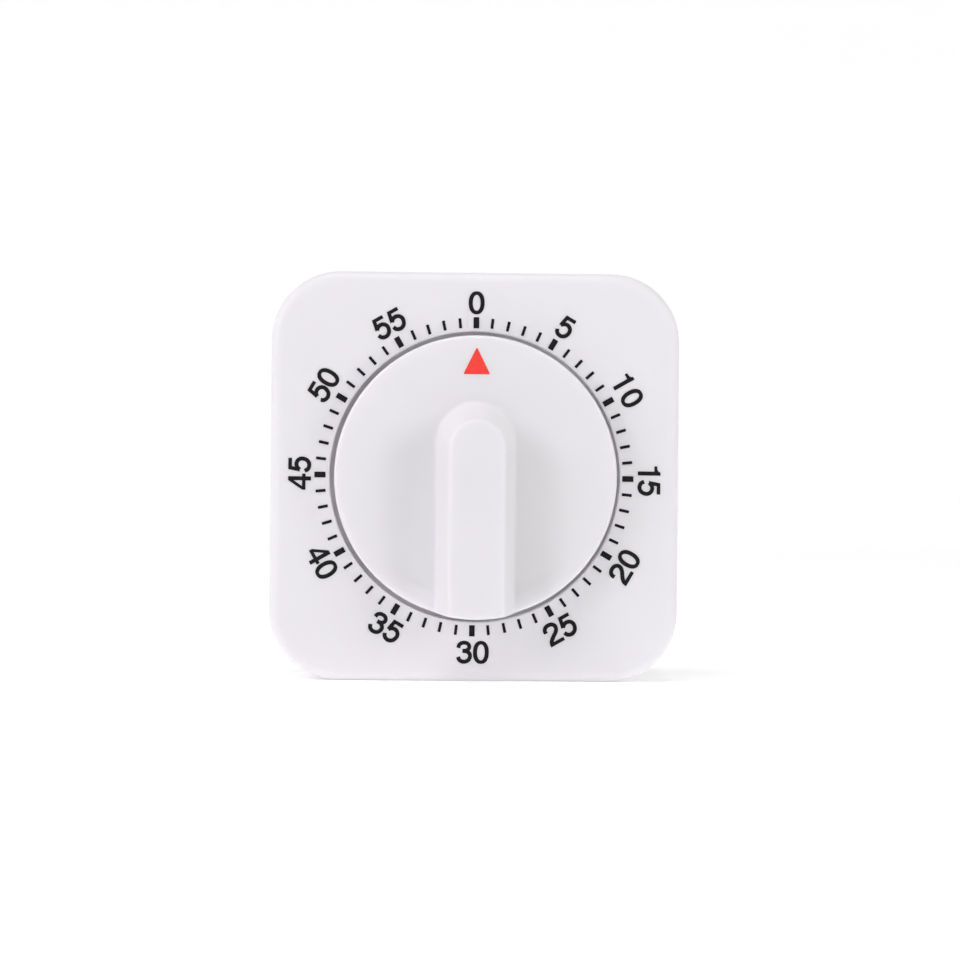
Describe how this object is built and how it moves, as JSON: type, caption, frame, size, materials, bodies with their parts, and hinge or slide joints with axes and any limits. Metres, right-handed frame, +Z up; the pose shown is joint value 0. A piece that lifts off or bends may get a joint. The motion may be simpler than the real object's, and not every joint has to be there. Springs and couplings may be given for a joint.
{
  "type": "kitchen timer",
  "caption": "Square mechanical kitchen timer with rounded corners, a round turning knob with a tall finger grip set in a round well, and a wind-up movement that strikes a bell.",
  "frame": {"origin": "middle of the bottom of the outer box, on the surface that the timer stands on", "axes": "+Z up to the 12 o'clock side, the dial faces -Y, +X to the right as the dial is read; the knob turns about +Y, clockwise on the dial being positive"},
  "size_m": [0.07, 0.038, 0.07],
  "materials": {
    "case_plastic": "moulded ABS, soft satin gloss",
    "cover_plastic": "moulded ABS, fine grain",
    "knob_plastic": "moulded ABS, soft satin gloss",
    "screw_steel": "zinc plated",
    "magnet_nickel": "nickel plated",
    "arbor_steel": "turned and polished",
    "spring_steel": "blued strip",
    "plate_steel": "pressed sheet",
    "wheel_brass": "stamped and tumbled",
    "bell_chrome": "pressed and plated"
  },
  "bodies": {
    "case": {"front_case": "case_plastic", "rear_cover": "cover_plastic", "cover_screws": "screw_steel", "magnets": "magnet_nickel", "movement_screws": "screw_steel", "mainspring": "spring_steel", "spring_post": "arbor_steel", "front_plate": "plate_steel", "rear_plate": "plate_steel", "plate_pillars": "wheel_brass", "plate_nuts": "wheel_brass", "stop_pin": "arbor_steel", "lever_stud": "arbor_steel", "bell": "bell_chrome", "bell_post": "arbor_steel", "bell_screw": "screw_steel"},
    "knob_set": {"knob": "knob_plastic", "arbor": "arbor_steel", "knob_leaf": "spring_steel", "stop_arm": "plate_steel", "ratchet_wheel": "arbor_steel", "release_cam": "arbor_steel", "spring_collet": "wheel_brass"},
    "main_set": {"main_wheel": "wheel_brass", "click_rivet": "arbor_steel", "click_spring": "spring_steel"},
    "click_set": {"click_pawl": "arbor_steel"},
    "second_set": {"second_pinion": "arbor_steel", "second_wheel": "wheel_brass"},
    "third_set": {"third_pinion": "arbor_steel", "third_wheel": "wheel_brass"},
    "escape_set": {"escape_pinion": "arbor_steel", "escape_wheel": "arbor_steel"},
    "pallet_set": {"pallet_lever": "wheel_brass", "pallet_pins": "arbor_steel", "pallet_staff": "arbor_steel", "balance_bar": "wheel_brass"},
    "strike_set": {"strike_pinion": "arbor_steel", "strike_wheel": "wheel_brass"},
    "lever_set": {"release_lever": "plate_steel"},
    "hammer_set": {"hammer": "arbor_steel", "hammer_staff": "arbor_steel", "hammer_tail": "plate_steel"}
  },
  "joints": [
    {"name": "knob_turn", "type": "hinge", "parent": "case", "child": "knob_set", "pos_m": [0, 0, 0.035], "axis": [0, 1, 0], "range_deg": [0, 350], "deforming": ["mainspring"]},
    {"name": "main_wheel_turn", "type": "hinge", "parent": "case", "child": "main_set", "pos_m": [0, 0, 0.035], "axis": [0, 1, 0], "continuous": true},
    {"name": "click_swing", "type": "hinge", "parent": "main_set", "child": "click_set", "pos_m": [0.00835, 0, 0.0416], "axis": [0, -1, 0], "range_deg": [-6.6, 0]},
    {"name": "second_wheel_turn", "type": "hinge", "parent": "case", "child": "second_set", "pos_m": [-0.01432, 0, 0.02068], "axis": [0, 1, 0], "continuous": true},
    {"name": "third_wheel_turn", "type": "hinge", "parent": "case", "child": "third_set", "pos_m": [-0.00067, 0, 0.01476], "axis": [0, 1, 0], "continuous": true},
    {"name": "escape_wheel_turn", "type": "hinge", "parent": "case", "child": "escape_set", "pos_m": [0.01112, 0, 0.01808], "axis": [0, 1, 0], "continuous": true},
    {"name": "strike_wheel_turn", "type": "hinge", "parent": "case", "child": "strike_set", "pos_m": [0.01432, 0, 0.04932], "axis": [0, 1, 0], "continuous": true},
    {"name": "pallet_swing", "type": "hinge", "parent": "case", "child": "pallet_set", "pos_m": [0.01646, 0, 0.0232], "axis": [0, 1, 0], "range_deg": [-10, 10]},
    {"name": "release_swing", "type": "hinge", "parent": "case", "child": "lever_set", "pos_m": [0.015, 0, 0.0445], "axis": [0, 1, 0], "range_deg": [-7, 0]},
    {"name": "hammer_swing", "type": "hinge", "parent": "case", "child": "hammer_set", "pos_m": [0.0215, 0, 0.038], "axis": [0, 1, 0], "range_deg": [-2.1, 6]}
  ],
  "couplings": [
    {"joint": "second_wheel_turn", "follows": "main_wheel_turn", "ratio": -8},
    {"joint": "third_wheel_turn", "follows": "main_wheel_turn", "ratio": 60},
    {"joint": "escape_wheel_turn", "follows": "main_wheel_turn", "ratio": -360},
    {"joint": "strike_wheel_turn", "follows": "main_wheel_turn", "ratio": -8}
  ]
}
